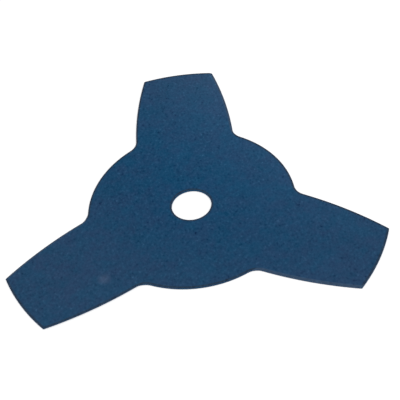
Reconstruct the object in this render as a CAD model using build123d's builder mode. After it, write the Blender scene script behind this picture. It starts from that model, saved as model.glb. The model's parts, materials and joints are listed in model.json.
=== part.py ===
"""Three-tooth brush cutter blade, blanked from one flat steel plate.

The blade lies flat: its underside is the plane z = 0, the origin is the middle of the bore on that
underside, and one tooth points along +Y. Lengths are in millimetres and angles in degrees.

Each tooth is symmetric about its own centre line. Its tip is an arc of the outer circle, its two long
sides bow gently outwards, and a wide fillet leads each side into the round body. Both sides of a tooth
are cutting edges: seen from above, the clockwise one is ground from the top face and the other one from
the underside, so that the blade cuts the same way when it is turned over on its spindle.
"""

import os
from math import acos, atan2, cos, degrees, hypot, isclose, radians, sin, sqrt

from build123d import *

# Driving dimensions of the plate
outer_diameter = 250.0  # circle through the tooth tips
disc_diameter = 133.0  # round body that carries the teeth
bore_diameter = 25.4  # centring hole, for a one-inch spindle collar
plate_thickness = 1.4
rim_rounding = 0.2  # blanking roll and lacquer along the outline on both faces; the bore is reamed sharp

# Driving dimensions of a tooth
tooth_count = 3
tooth_direction = 90.0  # the first tooth points along +Y
tip_width = 48.3  # straight across the tip, from corner to corner
root_width = 65.5  # straight across the base, where the sides would meet the body circle
side_radius = 247.0  # outward bow of the long sides
root_fillet = 9.7
tip_corner_radius = 0.4

# Driving dimensions of the ground cutting edges
bevel_width = 1.5  # across the face
bevel_depth = 0.7  # down the wall
grinding_radius = 6.0  # the grinding point where it meets the face, which rounds the bevel's end
grinding_margin = 2.0  # how far the grinding point reaches past the plate, up and beyond the tip

# Derived sizes
outer_radius = outer_diameter / 2
disc_radius = disc_diameter / 2
bore_radius = bore_diameter / 2
bevel_slope = bevel_depth / bevel_width
position_tolerance = 1e-4  # within which a vertex counts as lying on a circle


def on_circle(radius):
    """A test for the vertices that lie on the circle of that radius about the origin."""
    return lambda vertex: isclose(hypot(vertex.X, vertex.Y), radius, abs_tol=position_tolerance)


def corner_below_axis(circle_radius, width):
    """The point where a circle about the origin meets a strip of that width along the X axis, at -Y."""
    return Vector(sqrt(circle_radius**2 - (width / 2) ** 2), -width / 2)


def arc_centre(start, end, radius):
    """The centre of an arc of that radius from start to end, on the right of the way between them."""
    chord = end - start
    to_centre = Vector(chord.Y, -chord.X).normalized()
    return (start + end) / 2 + to_centre * sqrt(radius**2 - (chord.length / 2) ** 2)


# The clockwise side of a tooth that points along +X
tip_corner = corner_below_axis(outer_radius, tip_width)
root_corner = corner_below_axis(disc_radius, root_width)
side_centre = arc_centre(tip_corner, root_corner, side_radius)
centre_distance = hypot(side_centre.X, side_centre.Y)

# The root fillet's middle stands one fillet radius outside both the body circle and the side's circle
fillet_from_origin = disc_radius + root_fillet
fillet_from_centre = side_radius + root_fillet
origin_to_fillet = degrees(
    acos(
        (centre_distance**2 + fillet_from_centre**2 - fillet_from_origin**2)
        / (2 * centre_distance * fillet_from_centre)
    )
)
root_direction = degrees(atan2(-side_centre.Y, -side_centre.X)) + origin_to_fillet
tip_direction = degrees(atan2(tip_corner.Y - side_centre.Y, tip_corner.X - side_centre.X))

# A tooth that points along +X, with its base inside the body circle
with BuildSketch() as tooth:
    with BuildLine():
        tip_end = (tip_corner.X, -tip_corner.Y)
        root_end = (root_corner.X, -root_corner.Y)
        ThreePointArc(tip_corner, (outer_radius, 0), tip_end)
        RadiusArc(tip_end, root_end, -side_radius)
        Line(root_end, root_corner)
        RadiusArc(root_corner, tip_corner, -side_radius)
    make_face()

# The grinding point: a cone that follows the side's arc and rounds off the bevel's end at the root
cone_path = side_radius - bevel_width + grinding_radius
cone_radius = grinding_radius + grinding_margin / bevel_slope
cone_height = cone_radius * bevel_slope
path_arc = tip_direction - root_direction + degrees(grinding_margin / side_radius)

with BuildPart() as grinding_point:
    section = Plane(
        origin=(side_centre.X, side_centre.Y, plate_thickness + grinding_margin),
        x_dir=(cos(radians(root_direction)), sin(radians(root_direction)), 0),
        z_dir=(sin(radians(root_direction)), -cos(radians(root_direction)), 0),
    )
    with BuildSketch(section):
        with BuildLine():
            Polyline(
                (cone_path - cone_radius, 0),
                (cone_path, -cone_height),
                (cone_path + cone_radius, 0),
                close=True,
            )
        make_face()
    revolve(axis=Axis(side_centre, (0, 0, 1)), revolution_arc=path_arc)
    with Locations(section.from_local_coords(Vector(cone_path, 0))):
        Cone(0, cone_radius, cone_height, align=(Align.CENTER, Align.CENTER, Align.MAX))

# The same point turned over about the tooth's centre line, for the other side's edge
middle_line = Axis((0, 0, plate_thickness / 2), (1, 0, 0))
underside_point = grinding_point.part.rotate(middle_line, 180)

with BuildPart() as blade:
    with BuildSketch() as outline:
        Circle(disc_radius)
        with PolarLocations(0, tooth_count, tooth_direction):
            add(tooth.sketch)
        fillet(outline.vertices().filter_by(on_circle(disc_radius)), root_fillet)
        fillet(outline.vertices().filter_by(on_circle(outer_radius)), tip_corner_radius)
    extrude(amount=plate_thickness)
    both_faces = blade.faces().filter_by(Axis.Z)
    fillet(both_faces.edges(), rim_rounding)
    with PolarLocations(0, tooth_count, tooth_direction):
        add(grinding_point.part, mode=Mode.SUBTRACT)
        add(underside_point, mode=Mode.SUBTRACT)
    Hole(bore_radius)

blade.part.label = "blade"
os.makedirs("parts", exist_ok=True)
export_step(blade.part, "parts/blade.step")
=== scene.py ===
"""Looks of the brush cutter blade: its lacquered plate, the studio around it and the camera.

Lengths are in metres and angles in degrees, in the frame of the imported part: the plate lies on z = 0,
the middle of its bore is the origin, and one tooth points along +Y.
"""

import json
import logging
from dataclasses import dataclass, fields
from enum import Enum
from functools import cached_property
from itertools import accumulate
from math import cos, pi, radians, sin

import bmesh
import bpy
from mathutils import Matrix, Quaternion, Vector


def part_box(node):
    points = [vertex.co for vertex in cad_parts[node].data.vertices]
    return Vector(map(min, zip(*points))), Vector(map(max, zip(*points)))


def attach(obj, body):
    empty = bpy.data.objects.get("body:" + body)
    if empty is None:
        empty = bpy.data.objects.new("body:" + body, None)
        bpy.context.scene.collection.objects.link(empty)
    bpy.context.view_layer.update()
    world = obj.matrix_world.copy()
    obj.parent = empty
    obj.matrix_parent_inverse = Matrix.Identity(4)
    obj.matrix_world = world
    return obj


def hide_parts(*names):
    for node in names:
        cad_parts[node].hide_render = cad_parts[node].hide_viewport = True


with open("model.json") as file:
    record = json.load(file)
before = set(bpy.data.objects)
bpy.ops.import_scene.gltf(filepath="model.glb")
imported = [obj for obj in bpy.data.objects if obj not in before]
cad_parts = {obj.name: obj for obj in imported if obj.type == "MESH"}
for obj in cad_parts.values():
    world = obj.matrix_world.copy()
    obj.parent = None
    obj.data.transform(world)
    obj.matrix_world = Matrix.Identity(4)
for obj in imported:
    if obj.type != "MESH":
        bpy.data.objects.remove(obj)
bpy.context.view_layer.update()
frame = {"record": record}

MILLIMETRE = 0.001
BLADE_NODE = "blade"
BLADE_BODY = "root"

RIM_DISTANCE = "rim_distance"
CUT_DEPTH = "cut_depth"
FINISH_INPUT = "Finish"
PLATE_OUTPUT = "Plate"

# Rows and columns are whole numbers, so half a step tells one from the next
HALF_STEP = 0.5

# The middle of a noise texture's values, and what stretches them to run from about -1 to 1
NOISE_MIDDLE = 0.5
NOISE_STRETCH = 4.0

Point = tuple[float, float, float]
Colour = tuple[float, float, float]

log = logging.getLogger("blade")


class Maths(Enum):
    """The operations of a Math node that the formulas use."""

    ADD = "ADD"
    SUBTRACT = "SUBTRACT"
    MULTIPLY = "MULTIPLY"
    DIVIDE = "DIVIDE"
    SQUARE_ROOT = "SQRT"
    ABSOLUTE = "ABSOLUTE"
    SINE = "SINE"
    COSINE = "COSINE"
    DIRECTION = "ARCTAN2"
    SMALLER = "MINIMUM"
    LARGER = "MAXIMUM"
    SOFT_LARGER = "SMOOTH_MAX"
    IS_OVER = "GREATER_THAN"


class Family(Enum):
    """The kinds of node tree."""

    SHAPE = "GeometryNodeTree"
    SHADER = "ShaderNodeTree"


class Kind(Enum):
    """The kinds of socket that the node groups have."""

    NUMBER = "NodeSocketFloat"
    COUNT = "NodeSocketInt"
    VECTOR = "NodeSocketVector"
    SHAPE = "NodeSocketGeometry"
    FINISH = "NodeSocketMaterial"


@dataclass(frozen=True)
class Formula:
    """A number in a node tree, which Python's operators turn into Math nodes.

    Args:
        tree: The node tree that the nodes are made in.
        socket: The output socket that holds the number.
    """

    tree: bpy.types.NodeTree
    socket: bpy.types.NodeSocket

    def __add__(self, other: "Formula | float") -> "Formula":
        """The sum of two numbers."""
        return calculate(Maths.ADD, self, other)

    def __radd__(self, other: float) -> "Formula":
        """The sum of a plain number and this one."""
        return calculate(Maths.ADD, other, self)

    def __sub__(self, other: "Formula | float") -> "Formula":
        """This number less another."""
        return calculate(Maths.SUBTRACT, self, other)

    def __rsub__(self, other: float) -> "Formula":
        """A plain number less this one."""
        return calculate(Maths.SUBTRACT, other, self)

    def __mul__(self, other: "Formula | float") -> "Formula":
        """The product of two numbers."""
        return calculate(Maths.MULTIPLY, self, other)

    def __rmul__(self, other: float) -> "Formula":
        """The product of a plain number and this one."""
        return calculate(Maths.MULTIPLY, other, self)

    def __truediv__(self, other: "Formula | float") -> "Formula":
        """This number over another."""
        return calculate(Maths.DIVIDE, self, other)

    def __rtruediv__(self, other: float) -> "Formula":
        """A plain number over this one."""
        return calculate(Maths.DIVIDE, other, self)

    def __abs__(self) -> "Formula":
        """This number without its sign."""
        return calculate(Maths.ABSOLUTE, self)

    def root(self) -> "Formula":
        """The square root."""
        return calculate(Maths.SQUARE_ROOT, self)

    def sine(self) -> "Formula":
        """The sine of this angle in radians."""
        return calculate(Maths.SINE, self)

    def cosine(self) -> "Formula":
        """The cosine of this angle in radians."""
        return calculate(Maths.COSINE, self)

    def at_least(self, other: "Formula | float") -> "Formula":
        """The larger of two numbers."""
        return calculate(Maths.LARGER, self, other)

    def at_most(self, other: "Formula | float") -> "Formula":
        """The smaller of two numbers."""
        return calculate(Maths.SMALLER, self, other)

    def softly_at_least(self, other: float, blend: float) -> "Formula":
        """The larger of two numbers, with the change-over rounded off across blend."""
        return calculate(Maths.SOFT_LARGER, self, other, blend)

    def is_over(self, other: "Formula | float") -> "Formula":
        """One where this number is larger than the other, and zero elsewhere."""
        return calculate(Maths.IS_OVER, self, other)

    def ramp(self, start: float, end: float) -> "Formula":
        """Rises smoothly from zero to one as this number goes from start to end.

        Args:
            start: Where the result is still zero.
            end: Where the result has become one, above or below start.

        Returns:
            The share of the rise.
        """
        inputs = {"Value": self, "From Min": start, "From Max": end}
        node = add_node(self.tree, "ShaderNodeMapRange", inputs, interpolation_type="SMOOTHSTEP")
        return Formula(self.tree, node.outputs[0])

    def pick(self, values: "list[Formula | float]") -> "Formula":
        """Chooses from a list by this whole number.

        Args:
            values: What each whole number from zero up stands for.

        Returns:
            The value that this number stands for.
        """
        node = add_node(self.tree, "GeometryNodeIndexSwitch", data_type="FLOAT")
        while len(node.index_switch_items) < len(values):
            node.index_switch_items.new()
        feed(node.inputs[0], self + HALF_STEP)
        for slot, value in zip(node.inputs[1:], values):
            feed(slot, value)
        return Formula(self.tree, node.outputs[0])


Number = Formula | float


def feed(slot: bpy.types.NodeSocket, value: object) -> None:
    """Links an input socket to a formula or an output socket, or sets its own value.

    Args:
        slot: The input socket.
        value: What it gets.
    """
    source = value.socket if isinstance(value, Formula) else value
    if isinstance(source, bpy.types.NodeSocket):
        slot.id_data.links.new(source, slot)
    else:
        slot.default_value = source


def add_node(
    tree: bpy.types.NodeTree, kind: str, inputs: dict[int | str, object] | None = None, **settings: object
) -> bpy.types.Node:
    """Adds a node and fills it in.

    Args:
        tree: The node tree that the node goes into.
        kind: The node's type name.
        inputs: What each input socket gets, by name or by place.
        settings: The node's own properties.

    Returns:
        The new node.
    """
    node = tree.nodes.new(kind)
    for name, setting in settings.items():
        setattr(node, name, setting)
    for name, value in (inputs or {}).items():
        feed(node.inputs[name], value)
    return node


def calculate(operation: Maths, *operands: Number) -> Formula:
    """Feeds numbers to one Math node.

    Args:
        operation: What the node works out.
        operands: The numbers in order, at least one of which is a formula.

    Returns:
        The node's result.
    """
    tree = next(value.tree for value in operands if isinstance(value, Formula))
    node = add_node(tree, "ShaderNodeMath", dict(enumerate(operands)), operation=operation.value)
    return Formula(tree, node.outputs[0])


def length(x: Formula, y: Formula) -> Formula:
    """The distance that two coordinates span."""
    return (x * x + y * y).root()


def leg(longest: Formula, other: Formula) -> Formula:
    """The second leg of a right triangle with that longest side and that other leg."""
    return (longest * longest - other * other).root()


def split(tree: bpy.types.NodeTree, vector: bpy.types.NodeSocket) -> list[Formula]:
    """The three coordinates of a vector."""
    return [Formula(tree, part) for part in add_node(tree, "ShaderNodeSeparateXYZ", {0: vector}).outputs]


def distance(position: bpy.types.NodeSocket, point: Point) -> Formula:
    """Measures how far a position in a node tree is from a fixed point.

    Args:
        position: The position.
        point: The fixed point.

    Returns:
        The distance.
    """
    tree = position.id_data
    node = add_node(tree, "ShaderNodeVectorMath", {0: position, 1: point}, operation="DISTANCE")
    return Formula(tree, node.outputs["Value"])


@dataclass
class NodeGroup:
    """A node group with named inputs and outputs.

    Args:
        name: The group's name.
        family: The kind of its tree.
        inputs: The kind of each input, by its name.
        outputs: The kind of each output, by its name.
    """

    name: str
    family: Family
    inputs: dict[str, Kind]
    outputs: dict[str, Kind]

    def __post_init__(self) -> None:
        """Makes the tree, its sockets and the two nodes that stand for them."""
        self.tree = bpy.data.node_groups.new(self.name, self.family.value)
        for sockets, side in ((self.inputs, "INPUT"), (self.outputs, "OUTPUT")):
            for label, kind in sockets.items():
                self.tree.interface.new_socket(label, in_out=side, socket_type=kind.value)
        self.start = self.tree.nodes.new("NodeGroupInput")
        self.end = self.tree.nodes.new("NodeGroupOutput")

    def __getitem__(self, label: str) -> Formula:
        """The input of that name."""
        return Formula(self.tree, self.start.outputs[label])

    def put_out(self, label: str, value: object) -> None:
        """Feeds the output of that name."""
        feed(self.end.inputs[label], value)

    def identifier(self, label: str) -> str:
        """The identifier of the input of that name."""
        return self.start.outputs[label].identifier


@dataclass(frozen=True)
class Place:
    """A point in the plane of the plate.

    Args:
        x: Its distance along the tooth's middle line.
        y: Its distance across it.
    """

    x: Number
    y: Number

    def seen_from(self, other: "Place") -> Formula:
        """The angle at which another place sees this one, from the X axis, in radians."""
        return calculate(Maths.DIRECTION, self.y - other.y, self.x - other.x)

    def distance_to(self, other: "Place") -> Formula:
        """The distance between two places."""
        return length(self.x - other.x, self.y - other.y)


BORE_MIDDLE = Place(0.0, 0.0)


@dataclass(frozen=True)
class Arc:
    """One stretch of the outline.

    Args:
        centre: The middle of its circle.
        radius: Its circle's radius.
        start: The angle where it begins, in radians.
        end: The angle where it ends, in radians.
        steps: How many edges it is made of.
    """

    centre: Place
    radius: Number
    start: Number
    end: Number
    steps: int


@dataclass(frozen=True)
class Ring:
    """One ring of vertices that runs round the plate.

    Args:
        inset: How far the ring lies inside the outline.
        drop: How far it lies below the face.
        reach: Its share of the way on to the bore, along the face.
        widening: How far outside the bore it stops.
    """

    inset: Number
    drop: Number
    reach: float = 0.0
    widening: Number = 0.0


@dataclass(frozen=True)
class PlateSizes:
    """The plate's sizes, as plain numbers or as the inputs of its node tree.

    Args:
        outer_radius: The circle through the tooth tips.
        body_radius: The round body that carries the teeth.
        bore_radius: The hole for the spindle.
        thickness: The plate's thickness.
        rim_rounding: The rounding of both edges of the outline.
        bore_easing: The slight rounding of both edges of the bore.
        tooth_count: How many teeth there are.
        tooth_direction: Where the first tooth points, in radians from the X axis.
        tip_width: Straight across a tip, from corner to corner.
        root_width: Straight across a tooth where its sides would meet the body.
        side_radius: The outward bow of a tooth's long sides.
        root_fillet: The hollow between a side and the body.
        corner_radius: The rounding of a tip's corners.
        bevel_width: A ground edge's width across the face.
        bevel_depth: Its depth down the wall.
        grinding_radius: The grinding point where it meets the face.
    """

    outer_radius: Number
    body_radius: Number
    bore_radius: Number
    thickness: Number
    rim_rounding: Number
    bore_easing: Number
    tooth_count: Number
    tooth_direction: Number
    tip_width: Number
    root_width: Number
    side_radius: Number
    root_fillet: Number
    corner_radius: Number
    bevel_width: Number
    bevel_depth: Number
    grinding_radius: Number

    @classmethod
    def labels(cls) -> dict[str, str]:
        """The node tree's name for each size."""
        return {size.name: size.name.replace("_", " ").title() for size in fields(cls)}


@dataclass(frozen=True)
class HalfTooth:
    """The rules of half a tooth that points along +X: its outline, and the cut along its edge.

    The half runs from the middle of the tip along the side at positive Y, through the hollow at its
    root and round the body to halfway to the next tooth.

    Args:
        size: The plate's sizes, as inputs of the node tree.
        tip_steps: The mesh edges along half the tip, up to the ground edge.
        break_steps: The mesh edges on each side of a corner that the ground edge takes up.
        corner_steps: The mesh edges round a corner of the tip.
        side_steps: The mesh edges along the rest of the side.
        root_steps: The mesh edges round the hollow at the root.
        body_steps: The mesh edges round the body, to halfway to the next tooth.
    """

    size: PlateSizes
    tip_steps: int = 6
    break_steps: int = 3
    corner_steps: int = 6
    side_steps: int = 36
    root_steps: int = 14
    body_steps: int = 12

    @cached_property
    def side_centre(self) -> Place:
        """Finds the middle of the side's circle, which lies far across the tooth.

        Returns:
            The place.
        """
        tip = self.on_circle(self.size.outer_radius, self.size.tip_width * 0.5)
        root = self.on_circle(self.size.body_radius, self.size.root_width * 0.5)
        chord = tip.distance_to(root)
        share = leg(self.size.side_radius, chord * 0.5) / chord
        x = (tip.x + root.x) * 0.5 + (tip.y - root.y) * share
        y = (tip.y + root.y) * 0.5 - (tip.x - root.x) * share
        return Place(x, y)

    @cached_property
    def root_centre(self) -> Place:
        """The middle of the hollow at the root."""
        fillet = self.size.root_fillet
        return self.meet(self.size.body_radius + fillet, self.size.side_radius + fillet)

    def on_circle(self, radius: Formula, y: Formula) -> Place:
        """The place on a circle about the bore that stands that far across the middle line."""
        return Place(leg(radius, y), y)

    def meet(self, from_bore: Formula, from_centre: Formula) -> Place:
        """Finds the place on the tooth's side at two known distances.

        Args:
            from_bore: Its distance from the middle of the bore.
            from_centre: Its distance from the middle of the side's circle.

        Returns:
            The place.
        """
        centre = self.side_centre
        gap = centre.distance_to(BORE_MIDDLE)
        along = (from_bore * from_bore - from_centre * from_centre + gap * gap) / (gap * 2.0)
        out = leg(from_bore, along)
        return Place((centre.x * along - centre.y * out) / gap, (centre.y * along + centre.x * out) / gap)

    def arcs(self, inset: Formula) -> list[Arc]:
        """Divides the outline into arcs, with a break wherever the ground edge or a corner begins.

        Args:
            inset: How far inside the outline the arcs run.

        Returns:
            The arcs in order from the middle of the tip.
        """
        size = self.size
        centre = self.side_centre
        root = self.root_centre
        past_bevel = inset.at_least(size.bevel_width)
        past_corner = inset.at_least(size.corner_radius)
        tip_radius = size.outer_radius - inset
        side_radius = size.side_radius - inset
        corner = self.meet(size.outer_radius - past_corner, size.side_radius - past_corner)
        tip_break = self.meet(tip_radius, size.side_radius - past_bevel).seen_from(BORE_MIDDLE)
        side_break = self.meet(size.outer_radius - past_bevel, side_radius).seen_from(centre)
        tip_end = corner.seen_from(BORE_MIDDLE)
        side_start = corner.seen_from(centre)
        side_end = root.seen_from(centre)
        body_start = root.seen_from(BORE_MIDDLE)
        halfway = pi / size.tooth_count
        return [
            Arc(BORE_MIDDLE, tip_radius, 0.0, tip_break, self.tip_steps),
            Arc(BORE_MIDDLE, tip_radius, tip_break, tip_end, self.break_steps),
            Arc(corner, past_corner - inset, tip_end, side_start, self.corner_steps),
            Arc(centre, side_radius, side_start, side_break, self.break_steps),
            Arc(centre, side_radius, side_break, side_end, self.side_steps),
            Arc(root, size.root_fillet + inset, side_end + pi, body_start + pi, self.root_steps),
            Arc(BORE_MIDDLE, size.body_radius - inset, body_start, halfway, self.body_steps),
        ]

    def outline(self, column: Formula, arcs: list[Arc]) -> Place:
        """Finds where a column of the grid meets the outline.

        Args:
            column: The column's number, from zero at the middle of the tip.
            arcs: The outline's arcs in order.

        Returns:
            The place on the arc that the column belongs to.
        """
        ends = list(accumulate(arc.steps for arc in arcs))
        piece = sum(column.is_over(end + HALF_STEP) for end in ends[:-1])
        start = piece.pick([arc.start for arc in arcs])
        turn = piece.pick([arc.end for arc in arcs]) - start
        share = (column - piece.pick([0, *ends[:-1]])) / piece.pick([arc.steps for arc in arcs])
        angle = start + turn * share
        radius = piece.pick([arc.radius for arc in arcs])
        x = piece.pick([arc.centre.x for arc in arcs]) + radius * angle.cosine()
        y = piece.pick([arc.centre.y for arc in arcs]) + radius * angle.sine()
        return Place(x, y)

    def cut(self, place: Place) -> Formula:
        """Works out how deep the grinding point reaches, whose path follows the side and ends at the root.

        Args:
            place: A place on the face.

        Returns:
            The depth below the face, and less than zero away from the edge.
        """
        size = self.size
        centre = self.side_centre
        path_radius = size.side_radius - size.bevel_width + size.grinding_radius
        last = self.root_centre.seen_from(centre)
        path_end = Place(centre.x + last.cosine() * path_radius, centre.y + last.sine() * path_radius)
        beside = abs(place.distance_to(centre) - path_radius)
        beyond = place.distance_to(path_end)
        off_path = beside + (beyond - beside) * place.seen_from(centre).is_over(last)
        slope = size.bevel_depth / size.bevel_width
        return (size.grinding_radius - off_path) * slope


@dataclass(frozen=True)
class Mottle:
    """A soft pattern of light and dark patches, centred on zero.

    Args:
        patch: How large a patch is.
        detail: How many finer layers it has.
        fineness: How strong each finer layer is, as a share of the one before.
        seed: Which of the possible patterns it is.
    """

    patch: float
    detail: float
    fineness: float
    seed: float

    @staticmethod
    def group() -> NodeGroup:
        """Builds the node group that every such pattern uses.

        Returns:
            The group, whose value runs from about -1 to 1.
        """
        inputs = {label: Kind.NUMBER for label in ("Patch", "Detail", "Fineness", "Seed")}
        inputs["Position"] = Kind.VECTOR
        group = NodeGroup("mottle", Family.SHADER, inputs, {"Value": Kind.NUMBER})
        noise_inputs = {
            "Vector": group["Position"],
            "W": group["Seed"],
            "Scale": 1.0 / group["Patch"],
            "Detail": group["Detail"],
            "Roughness": group["Fineness"],
        }
        noise = add_node(group.tree, "ShaderNodeTexNoise", noise_inputs, noise_dimensions="4D")
        group.put_out("Value", (Formula(group.tree, noise.outputs[0]) - NOISE_MIDDLE) * NOISE_STRETCH)
        return group

    def place(self, group: NodeGroup, tree: bpy.types.NodeTree, position: bpy.types.NodeSocket) -> Formula:
        """Places the pattern in a material.

        Args:
            group: The shared node group.
            tree: The material's node tree.
            position: Where on the piece it is read.

        Returns:
            The pattern's value.
        """
        node = add_node(tree, "ShaderNodeGroup", node_tree=group.tree)
        feed(node.inputs["Position"], position)
        feed(node.inputs["Patch"], self.patch)
        feed(node.inputs["Detail"], self.detail)
        feed(node.inputs["Fineness"], self.fineness)
        feed(node.inputs["Seed"], self.seed)
        return Formula(tree, node.outputs["Value"])


def tint(share: Formula, under: Colour | bpy.types.NodeSocket, over: Colour) -> bpy.types.NodeSocket:
    """Lays one colour over another.

    Args:
        share: How much of the upper colour shows.
        under: The lower colour.
        over: The upper colour.

    Returns:
        The mixed colour.
    """
    node = share.tree.nodes.new("ShaderNodeMix")
    node.data_type = "RGBA"
    feed(node.inputs[0], share)
    feed(node.inputs[6], (*under, 1.0) if isinstance(under, tuple) else under)
    feed(node.inputs[7], (*over, 1.0))
    return node.outputs[2]


def shifted(tone: bpy.types.NodeSocket, shift: Colour, share: Formula) -> bpy.types.NodeSocket:
    """Adds a share of something to each channel of a colour.

    Args:
        tone: The colour.
        shift: What the whole of it would add to each channel.
        share: How much of it is added.

    Returns:
        The shifted colour.
    """
    inputs = {0: shift, 1: share, 2: tone}
    return add_node(share.tree, "ShaderNodeVectorMath", inputs, operation="MULTIPLY_ADD").outputs[0]


@dataclass(frozen=True)
class Film:
    """A thin film of another colour over the lacquer, which comes in with some measure.

    Args:
        colour: The film's colour.
        share: How much of it shows where it is fullest.
        start: The measure at which it begins.
        full: The measure at which it is fullest.
    """

    colour: Colour
    share: float
    start: float
    full: float

    def cover(self, measure: Formula) -> Formula:
        """How much of the film shows at a measure."""
        return measure.ramp(self.start, self.full) * self.share


@dataclass(frozen=True)
class Bloom:
    """A broad round patch in which the lacquer's colour shifts, most of all in its middle.

    Args:
        middle: Where its middle lies, which may be beside the plate.
        radius: How far it reaches.
        shift: What it adds to each channel of the colour in its middle.
    """

    middle: Point
    radius: float
    shift: Colour

    def over(self, position: bpy.types.NodeSocket, tone: bpy.types.NodeSocket) -> bpy.types.NodeSocket:
        """Shifts a colour.

        Args:
            position: Where on the piece it is read.
            tone: The colour.

        Returns:
            The shifted colour.
        """
        return shifted(tone, self.shift, distance(position, self.middle).ramp(self.radius, 0.0))


@dataclass(frozen=True)
class Lacquer:
    """Satin dark blue lacquer that covers the whole blade, ground edges too.

    Args:
        teal: Its colour where it leans to green.
        indigo: Its colour where it leans to violet.
        cool: The patch in which it is bluer.
        sheen: A painted highlight, the broad patch in which it is paler.
        mark: The faint pale spot on one tooth's top face, by the distance from its middle.
        mark_place: Where that spot lies.
        line: The duller line along the rim, by the distance from it.
        line_margin: How far inside the rim the line begins.
        worn: The greyer film on the ground edges, by the depth of the cut: partly thinner, worn lacquer and
            partly a painted highlight where the bevels catch the light.
        speckle: What a fleck of the grain adds to each channel of the colour.
        speckle_tail: How much the palest and darkest flecks stand out.
        speckle_lean: How much more the pale flecks stand out than the dark ones.
        speckle_patches: How much weaker the flecks are where a cloud is lighter.
        speckle_drift: How much stronger they get per metre along +Y.
        roughness: How matt it is.
        specular: How strongly it mirrors.
        hue: The patches in which the teal and the indigo lie.
        cloud: The patches of lighter and darker film.
        grain: The grain of pale and dark flecks.
        grain_lay: How close the flecks lie along each axis, which draws them out a little along Y.
        peel: The fine waves of the film's surface.
        hue_swing: How far a patch of the hue goes from the middle towards teal or indigo.
        cloud_light: How much a cloud brightens the film.
        cloud_matt: How much a cloud adds to the roughness.
        grain_matt: How much the grain adds to it.
        peel_height: How high the waves are.
    """

    teal: Colour = (0.0134, 0.0570, 0.1218)
    indigo: Colour = (0.0190, 0.0522, 0.1162)
    cool: Bloom = Bloom((0.043, 0.069, 0.0), 0.176, (-0.0180, -0.0031, 0.0135))
    # A painted highlight: a broad paler patch laid into the colour.
    sheen: Bloom = Bloom((0.120, 0.132, 0.0), 0.206, (0.0420, 0.0369, 0.0394))
    mark: Film = Film((0.0660, 0.0990, 0.1800), 0.5, 5.5 * MILLIMETRE, 0.5 * MILLIMETRE)
    mark_place: Point = (-57.4 * MILLIMETRE, -51.0 * MILLIMETRE, 1.4 * MILLIMETRE)
    line: Film = Film((0.0191, 0.0379, 0.0690), 0.95, 1.6 * MILLIMETRE, 0.9 * MILLIMETRE)
    line_margin: float = 0.2 * MILLIMETRE
    # Partly worn lacquer and partly a painted highlight of the ground edges.
    worn: Film = Film((0.0432, 0.0795, 0.1433), 0.56, -0.18 * MILLIMETRE, 0.05 * MILLIMETRE)
    speckle: Colour = (0.0052, 0.0124, 0.0211)
    speckle_tail: float = 1.1
    speckle_lean: float = 0.13
    speckle_patches: float = 0.3
    speckle_drift: float = 1.5
    roughness: float = 0.5
    specular: float = 0.05
    hue: Mottle = Mottle(17 * MILLIMETRE, 3.0, 0.85, 12.0)
    cloud: Mottle = Mottle(16 * MILLIMETRE, 4.0, 0.8, 5.0)
    grain: Mottle = Mottle(1.66 * MILLIMETRE, 1.0, 0.8, 8.0)
    grain_lay: Point = (1.12, 0.9, 1.0)
    peel: Mottle = Mottle(1.8 * MILLIMETRE, 1.0, 0.5, 11.0)
    hue_swing: float = 1.2
    cloud_light: float = 0.075
    cloud_matt: float = 0.02
    grain_matt: float = 0.04
    peel_height: float = 0.03 * MILLIMETRE

    def material(self) -> bpy.types.Material:
        """Builds the lacquer's material.

        Returns:
            The material, which reads the plate's own attributes along its rim.
        """
        material = bpy.data.materials.new("satin_lacquer")
        material.use_nodes = True
        tree = material.node_tree
        shader = tree.nodes["Principled BSDF"]
        position = add_node(tree, "ShaderNodeTexCoord").outputs["Object"]
        mottle = Mottle.group()
        hue, cloud, peel = (
            pattern.place(mottle, tree, position) for pattern in (self.hue, self.cloud, self.peel)
        )
        lay = add_node(tree, "ShaderNodeMapping", {"Vector": position, "Scale": self.grain_lay})
        grain = self.grain.place(mottle, tree, lay.outputs[0])
        light = 1.0 + cloud * self.cloud_light
        along = split(tree, position)[1]
        flecks = grain * (1.0 - cloud * self.speckle_patches + along * self.speckle_drift)
        contrast = 1.0 + flecks * self.speckle_lean + flecks * flecks * self.speckle_tail
        tone = shifted(self.tone(position, hue), self.speckle, flecks * contrast)
        lit = add_node(tree, "ShaderNodeVectorMath", {0: tone, "Scale": light}, operation="SCALE")
        waves = {"Height": peel, "Strength": 1.0, "Distance": self.peel_height}
        bump = add_node(tree, "ShaderNodeBump", waves)
        feed(shader.inputs["Base Color"], lit.outputs[0])
        feed(shader.inputs["Roughness"], self.roughness + grain * self.grain_matt + cloud * self.cloud_matt)
        feed(shader.inputs["Specular IOR Level"], self.specular)
        feed(shader.inputs["Normal"], bump.outputs[0])
        return material

    def tone(self, position: bpy.types.NodeSocket, hue: Formula) -> bpy.types.NodeSocket:
        """Lays the blooms and the films over the lacquer's own colour, a painted highlight among them.

        Args:
            position: Where on the piece the colour is read.
            hue: The patches in which the colour changes.

        Returns:
            The colour.
        """
        tree = position.id_data
        height = split(tree, position)[2]
        mark = self.mark.cover(distance(position, self.mark_place)) * height.ramp(0.0, self.mark_place[2])
        rim = self.attribute(tree, RIM_DISTANCE)
        line = self.line.cover(rim) * rim.ramp(0.0, self.line_margin)
        # The film on the ground edges is partly wear and partly a painted highlight of the bevels.
        worn = self.worn.cover(self.attribute(tree, CUT_DEPTH))

        tone = tint(hue * self.hue_swing + 0.5, self.teal, self.indigo)
        # The second bloom is a painted highlight, a broad paler patch in the colour.
        tone = self.sheen.over(position, self.cool.over(position, tone))
        tone = tint(mark, tone, self.mark.colour)
        tone = tint(line, tone, self.line.colour)
        return tint(worn, tone, self.worn.colour)

    def attribute(self, tree: bpy.types.NodeTree, name: str) -> Formula:
        """The plate's own value of that name."""
        return Formula(tree, add_node(tree, "ShaderNodeAttribute", attribute_name=name).outputs["Fac"])


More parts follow.
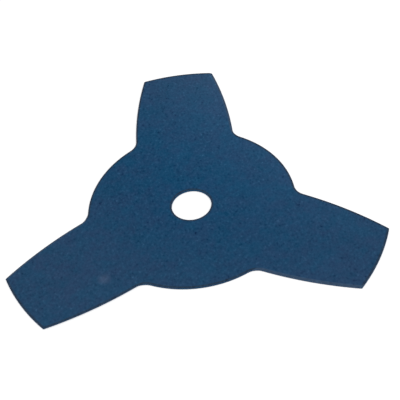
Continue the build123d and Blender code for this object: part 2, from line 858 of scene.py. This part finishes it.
@dataclass
class BladePlate:
    """The blade's one piece: a flat plate with three teeth, ground edges and a bore.

    Args:
        size: The plate's sizes.
        finish: The lacquer on it.
        rounding_steps: The edges across each rounding of the rim and the bore.
        rim_support: Where the face becomes flat, inside the rounding.
        cut_blend: How far the inner edge of a ground edge is rounded off, in depth.
        bevel_shares: Rings across and beyond a ground edge, as shares of its width.
        face_shares: Rings across the rest of the face, as shares of the way to the bore.
        bore_margins: Rings round the bore, by their distance from it.
        merge_distance: Within which vertices are one.
        crease_angle: An edge over which the surface folds more sharply than this stays sharp.
    """

    size: PlateSizes
    finish: Lacquer
    rounding_steps: int = 4
    rim_support: float = 0.06 * MILLIMETRE
    cut_blend: float = 0.05 * MILLIMETRE
    bevel_shares: tuple[float, ...] = (0.4, 0.65, 0.87, 0.93, 1.0, 1.07, 1.17, 1.5, 2.1, 3.0)
    face_shares: tuple[float, ...] = (0.12, 0.25, 0.4, 0.55, 0.7, 0.85)
    bore_margins: tuple[float, ...] = (3.0 * MILLIMETRE, 1.5 * MILLIMETRE, 0.6 * MILLIMETRE)
    merge_distance: float = 0.002 * MILLIMETRE
    crease_angle: float = radians(35)

    def build(self) -> bpy.types.Object:
        """Builds the plate as a plain mesh from its node tree.

        Returns:
            The plate's object.
        """
        group = self.node_group()
        maker = bpy.data.objects.new("plate_maker", bpy.data.meshes.new("plate_maker"))
        bpy.context.scene.collection.objects.link(maker)
        modifier = maker.modifiers.new("plate", "NODES")
        modifier.node_group = group.tree
        for name, label in PlateSizes.labels().items():
            modifier[group.identifier(label)] = getattr(self.size, name)
        modifier[group.identifier(FINISH_INPUT)] = self.finish.material()
        graph = bpy.context.evaluated_depsgraph_get()
        mesh = bpy.data.meshes.new_from_object(
            maker.evaluated_get(graph), preserve_all_data_layers=True, depsgraph=graph
        )
        bpy.data.objects.remove(maker)
        # The new mesh has an empty slot before the one that the tree has set
        finish = mesh.materials[-1]
        mesh.materials.clear()
        mesh.materials.append(finish)
        mesh.name = "blade_plate"
        plate = bpy.data.objects.new("blade_plate", mesh)
        bpy.context.scene.collection.objects.link(plate)
        return plate

    def dress(self, plate: bpy.types.Object) -> None:
        """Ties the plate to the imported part.

        Args:
            plate: The plate's object.
        """
        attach(plate, BLADE_BODY)
        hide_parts(BLADE_NODE)

    def rounding(self, radius: Number) -> list[tuple[Number, Number]]:
        """Divides a quarter round between a wall and a face.

        Args:
            radius: The rounding's radius.

        Returns:
            The distance from the wall and from the face at each step, beginning on the wall.
        """
        angles = [radians(90.0) * step / self.rounding_steps for step in range(self.rounding_steps + 1)]
        return [(radius * (1.0 - cos(angle)), radius * (1.0 - sin(angle))) for angle in angles]

    def rings(self, size: PlateSizes) -> list[Ring]:
        """Lists the rings from the middle of the outer wall over a face to the middle of the bore's wall.

        Args:
            size: The plate's sizes, as inputs of the node tree.

        Returns:
            The rings in order.
        """
        innermost = size.bevel_width * self.bevel_shares[-1]
        easing = [Ring(innermost, drop, 1.0, gap) for gap, drop in reversed(self.rounding(size.bore_easing))]
        return [
            Ring(0.0, size.thickness * 0.5),
            *[Ring(inset, drop) for inset, drop in self.rounding(size.rim_rounding)],
            Ring(size.rim_rounding + self.rim_support, 0.0),
            *[Ring(size.bevel_width * share, 0.0) for share in self.bevel_shares],
            *[Ring(innermost, 0.0, share) for share in self.face_shares],
            *[Ring(innermost, 0.0, 1.0, margin) for margin in self.bore_margins],
            Ring(innermost, 0.0, 1.0, size.bore_easing + self.rim_support),
            *easing,
            Ring(innermost, size.thickness * 0.5, 1.0),
        ]

    def node_group(self) -> NodeGroup:
        """Builds the node tree that makes the plate.

        Returns:
            The tree, with the plate's sizes and its finish as inputs.
        """
        labels = PlateSizes.labels()
        kinds = {label: Kind.NUMBER for label in labels.values()}
        kinds[labels["tooth_count"]] = Kind.COUNT
        kinds[FINISH_INPUT] = Kind.FINISH
        group = NodeGroup("blade plate", Family.SHAPE, kinds, {PLATE_OUTPUT: Kind.SHAPE})
        size = PlateSizes(**{name: group[label] for name, label in labels.items()})
        group.put_out(PLATE_OUTPUT, self.repeat(group, size, self.tooth(group.tree, size)))
        return group

    def tooth(self, tree: bpy.types.NodeTree, size: PlateSizes) -> bpy.types.NodeSocket:
        """Bends a grid into one tooth with its share of the body, and stores what the finish reads.

        The grid's columns run round the outline. Its rows run from the bore's wall over the underside,
        the rim and the top back to that wall.

        Args:
            tree: The node tree.
            size: The plate's sizes, as its inputs.

        Returns:
            The tooth's mesh.
        """
        position = add_node(tree, "GeometryNodeInputPosition").outputs[0]
        column, row, _ = split(tree, position)

        rings = self.rings(size)
        ring = abs(row)
        inset = ring.pick([one.inset for one in rings])
        drop = ring.pick([one.drop for one in rings])
        reach = ring.pick([one.reach for one in rings])
        widening = ring.pick([one.widening for one in rings])

        half = HalfTooth(size)
        arcs = half.arcs(inset)
        outline = half.outline(abs(column), arcs)
        start = outline.distance_to(BORE_MIDDLE)
        from_bore = start * (1.0 - reach) + size.bore_radius * reach + widening
        place = Place(outline.x * from_bore / start, outline.y * from_bore / start)
        reached = half.cut(place)
        cut = reached.softly_at_least(0.0, self.cut_blend)
        left = column.is_over(0.0)
        right = (-1.0 * column).is_over(0.0)
        top = row.is_over(HALF_STEP)
        plain = drop + (size.thickness - drop * 2.0) * top
        height = plain.at_least(cut * left).at_most(size.thickness - cut * right)
        ground_side = right * row.is_over(-HALF_STEP) + left * (-1.0 * row).is_over(-HALF_STEP)
        cut_depth = (reached + size.thickness) * ground_side - size.thickness
        rim_distance = inset.at_most(from_bore - size.bore_radius)

        columns = sum(arc.steps for arc in arcs)
        rows = len(rings) - 1
        grid_inputs = {
            "Size X": 2.0 * columns,
            "Size Y": 2.0 * rows,
            "Vertices X": 2 * columns + 1,
            "Vertices Y": 2 * rows + 1,
        }
        shape = add_node(tree, "GeometryNodeMeshGrid", grid_inputs).outputs[0]
        for name, value in ((RIM_DISTANCE, rim_distance), (CUT_DEPTH, cut_depth)):
            stored = {"Geometry": shape, "Name": name, "Value": value}
            shape = add_node(tree, "GeometryNodeStoreNamedAttribute", stored).outputs[0]
        bent = {"X": place.x, "Y": place.y * (left - right), "Z": height}
        moved = {"Geometry": shape, "Position": add_node(tree, "ShaderNodeCombineXYZ", bent).outputs[0]}
        return add_node(tree, "GeometryNodeSetPosition", moved).outputs[0]

    def repeat(self, group: NodeGroup, size: PlateSizes, tooth: bpy.types.NodeSocket) -> bpy.types.NodeSocket:
        """Repeats the tooth round the bore and joins the copies.

        Args:
            group: The node group.
            size: The plate's sizes, as its inputs.
            tooth: One tooth with its share of the body.

        Returns:
            The whole plate, smooth except over sharp edges, with its finish.
        """
        tree = group.tree
        number = Formula(tree, add_node(tree, "GeometryNodeInputIndex").outputs[0])
        turn = size.tooth_direction + number * (2.0 * pi) / size.tooth_count
        turned = add_node(tree, "ShaderNodeCombineXYZ", {"Z": turn}).outputs[0]
        points = add_node(tree, "GeometryNodePoints", {"Count": size.tooth_count}).outputs[0]
        placed = {"Points": points, "Instance": tooth, "Rotation": turned}
        copies = add_node(tree, "GeometryNodeInstanceOnPoints", placed).outputs[0]
        shape = add_node(tree, "GeometryNodeRealizeInstances", {"Geometry": copies}).outputs[0]
        joined = {"Geometry": shape, "Distance": self.merge_distance}
        shape = add_node(tree, "GeometryNodeMergeByDistance", joined).outputs[0]
        fold = Formula(tree, add_node(tree, "GeometryNodeInputMeshEdgeAngle").outputs["Unsigned Angle"])
        smooth = {"Geometry": shape, "Shade Smooth": True}
        shape = add_node(tree, "GeometryNodeSetShadeSmooth", smooth, domain="FACE").outputs[0]
        creased = {"Geometry": shape, "Selection": fold.is_over(self.crease_angle), "Shade Smooth": False}
        shape = add_node(tree, "GeometryNodeSetShadeSmooth", creased, domain="EDGE").outputs[0]
        finished = {"Geometry": shape, "Material": group[FINISH_INPUT]}
        return add_node(tree, "GeometryNodeSetMaterial", finished).outputs[0]


@dataclass(frozen=True)
class Studio:
    """The pale floor under the blade, the even light round it and one soft lamp.

    Args:
        floor_radius: The floor's size, at which it has dissolved into the white behind it.
        fade_start: How far from its middle it begins to dissolve.
        floor_edges: How many straight edges its rim has.
        floor_gap: How far the floor lies under the blade.
        floor_tone: How pale the floor is.
        floor_glow: What lifts the open floor to white where it is seen.
        surround: The level of the light from all sides.
        lamp_level: The level of the lamp on the face.
        lamp_place: Where the lamp hangs.
        lamp_width: The lamp's size.
    """

    floor_radius: float = 0.9
    fade_start: float = 0.35
    floor_edges: int = 96
    floor_gap: float = 0.2 * MILLIMETRE
    floor_tone: float = 0.8
    floor_glow: float = 0.38
    surround: float = 0.6
    lamp_level: float = 0.4
    lamp_place: Point = (0.35, -1.05, 1.3)
    lamp_width: float = 1.1

    def build(self) -> None:
        """Builds the floor, the surroundings and the lamp."""
        self.lay_floor()
        self.light_surroundings()
        self.hang_lamp()

    def seen(self, tree: bpy.types.NodeTree) -> Formula:
        """Tells what is seen, also as a reflection or through glass, from what lights the blade.

        Args:
            tree: The node tree of the floor's material or of the surroundings.

        Returns:
            One for a ray of sight, and zero for a ray of light.
        """
        rays = add_node(tree, "ShaderNodeLightPath").outputs
        seen, mirrored, through = (
            Formula(tree, rays[kind]) for kind in ("Is Camera Ray", "Is Glossy Ray", "Is Transmission Ray")
        )
        return seen.at_least(mirrored).at_least(through)

    def lay_floor(self) -> None:
        """Lays the floor, a flat round sheet just under the blade."""
        mesh = bpy.data.meshes.new("floor")
        maker = bmesh.new()
        bmesh.ops.create_circle(
            maker, cap_ends=True, segments=self.floor_edges, radius=self.floor_radius
        )
        bmesh.ops.translate(maker, verts=maker.verts, vec=(0.0, 0.0, -self.floor_gap))
        bmesh.ops.recalc_face_normals(maker, faces=maker.faces)
        maker.to_mesh(mesh)
        maker.free()
        mesh.materials.append(self.floor_material())
        floor = bpy.data.objects.new("floor", mesh)
        bpy.context.scene.collection.objects.link(floor)

    def floor_material(self) -> bpy.types.Material:
        """Builds the floor's material, which shows from above only and lets the light from below pass.

        Returns:
            The material.
        """
        material = bpy.data.materials.new("floor")
        material.use_nodes = True
        tree = material.node_tree
        tree.nodes.clear()
        tone = (self.floor_tone, self.floor_tone, self.floor_tone, 1.0)
        matt = add_node(tree, "ShaderNodeBsdfDiffuse", {"Color": tone})
        glow = add_node(tree, "ShaderNodeEmission", {"Strength": self.floor_glow})
        front = add_node(tree, "ShaderNodeAddShader", {0: matt.outputs[0], 1: glow.outputs[0]})
        clear = add_node(tree, "ShaderNodeBsdfTransparent")
        behind = Formula(tree, add_node(tree, "ShaderNodeNewGeometry").outputs["Backfacing"])
        position = add_node(tree, "ShaderNodeTexCoord").outputs["Object"]
        solid = distance(position, (0.0, 0.0, -self.floor_gap)).ramp(self.floor_radius, self.fade_start)
        shown = self.seen(tree) * (1.0 - behind) * solid
        mixed = add_node(tree, "ShaderNodeMixShader", {0: shown, 1: clear.outputs[0], 2: front.outputs[0]})
        add_node(tree, "ShaderNodeOutputMaterial", {"Surface": mixed.outputs[0]})
        return material

    def light_surroundings(self) -> None:
        """Lights the blade evenly from all sides, in front of a white background."""
        world = bpy.data.worlds.new("surroundings")
        bpy.context.scene.world = world
        world.use_nodes = True
        tree = world.node_tree
        background = tree.nodes["Background"]
        feed(background.inputs["Color"], (1.0, 1.0, 1.0, 1.0))
        feed(background.inputs["Strength"], self.surround + (1.0 - self.surround) * self.seen(tree))

    def hang_lamp(self) -> None:
        """Hangs the lamp at the power that gives its level in the middle of the blade."""
        place = Vector(self.lamp_place)
        data = bpy.data.lights.new("lamp", "AREA")
        data.size = self.lamp_width
        # The level on the face is power / (pi * distance) ** 2, times the lamp's height over its distance
        data.energy = self.lamp_level * pi**2 * place.length_squared * place.length / place.z
        lamp = bpy.data.objects.new("lamp", data)
        lamp.location = place
        lamp.rotation_mode = "QUATERNION"
        lamp.rotation_quaternion = (-place).to_track_quat("-Z", "Y")
        bpy.context.scene.collection.objects.link(lamp)


@dataclass(frozen=True)
class Viewpoint:
    """The camera, at the photograph's viewing angle.

    Args:
        place: Where it stands.
        aim: The point in the middle of the picture.
        roll: How far it is turned about its line of sight, in degrees.
        lens: Its focal length in millimetres, on the sensor of the default width.
    """

    place: Point = (0.0207, -0.47602, 0.5253)
    aim: Point = (0.005695, 0.004322, 0.0)
    roll: float = -8.814
    lens: float = 100.36

    def build(self) -> None:
        """Sets the camera up and makes it the scene's."""
        data = bpy.data.cameras.new("camera")
        data.lens = self.lens
        camera = bpy.data.objects.new("camera", data)
        camera.location = self.place
        sight = Vector(self.aim) - Vector(self.place)
        camera.rotation_mode = "QUATERNION"
        roll = Quaternion((0, 0, 1), radians(self.roll))
        camera.rotation_quaternion = sight.to_track_quat("-Z", "Y") @ roll
        bpy.context.scene.collection.objects.link(camera)
        bpy.context.scene.camera = camera


def plate_sizes() -> PlateSizes:
    """Reads the blade's reach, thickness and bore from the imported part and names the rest.

    Returns:
        The plate's sizes.
    """
    _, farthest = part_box(BLADE_NODE)
    bore = next(mount for mount in frame["record"]["mounts"] if mount["name"] == "bore")
    return PlateSizes(
        outer_radius=farthest.y,
        body_radius=66.5 * MILLIMETRE,
        bore_radius=bore["dims"]["r_mm"] * MILLIMETRE,
        thickness=farthest.z,
        rim_rounding=0.2 * MILLIMETRE,
        bore_easing=0.1 * MILLIMETRE,
        tooth_count=3,
        tooth_direction=radians(90),
        tip_width=48.3 * MILLIMETRE,
        root_width=65.5 * MILLIMETRE,
        side_radius=247.0 * MILLIMETRE,
        root_fillet=9.7 * MILLIMETRE,
        corner_radius=0.4 * MILLIMETRE,
        bevel_width=1.5 * MILLIMETRE,
        bevel_depth=0.7 * MILLIMETRE,
        grinding_radius=6.0 * MILLIMETRE,
    )


def main() -> None:
    """Builds the blade, the studio and the camera, and reports each piece."""
    logging.basicConfig(level=logging.INFO, format="%(name)s: %(message)s")
    bpy.context.scene.view_settings.view_transform = "Standard"
    blade = BladePlate(plate_sizes(), Lacquer())
    plate = blade.build()
    blade.dress(plate)
    log.info("%s: %d vertices, %d faces", plate.name, len(plate.data.vertices), len(plate.data.polygons))
    Studio().build()
    Viewpoint().build()


if __name__ == "__main__":
    main()
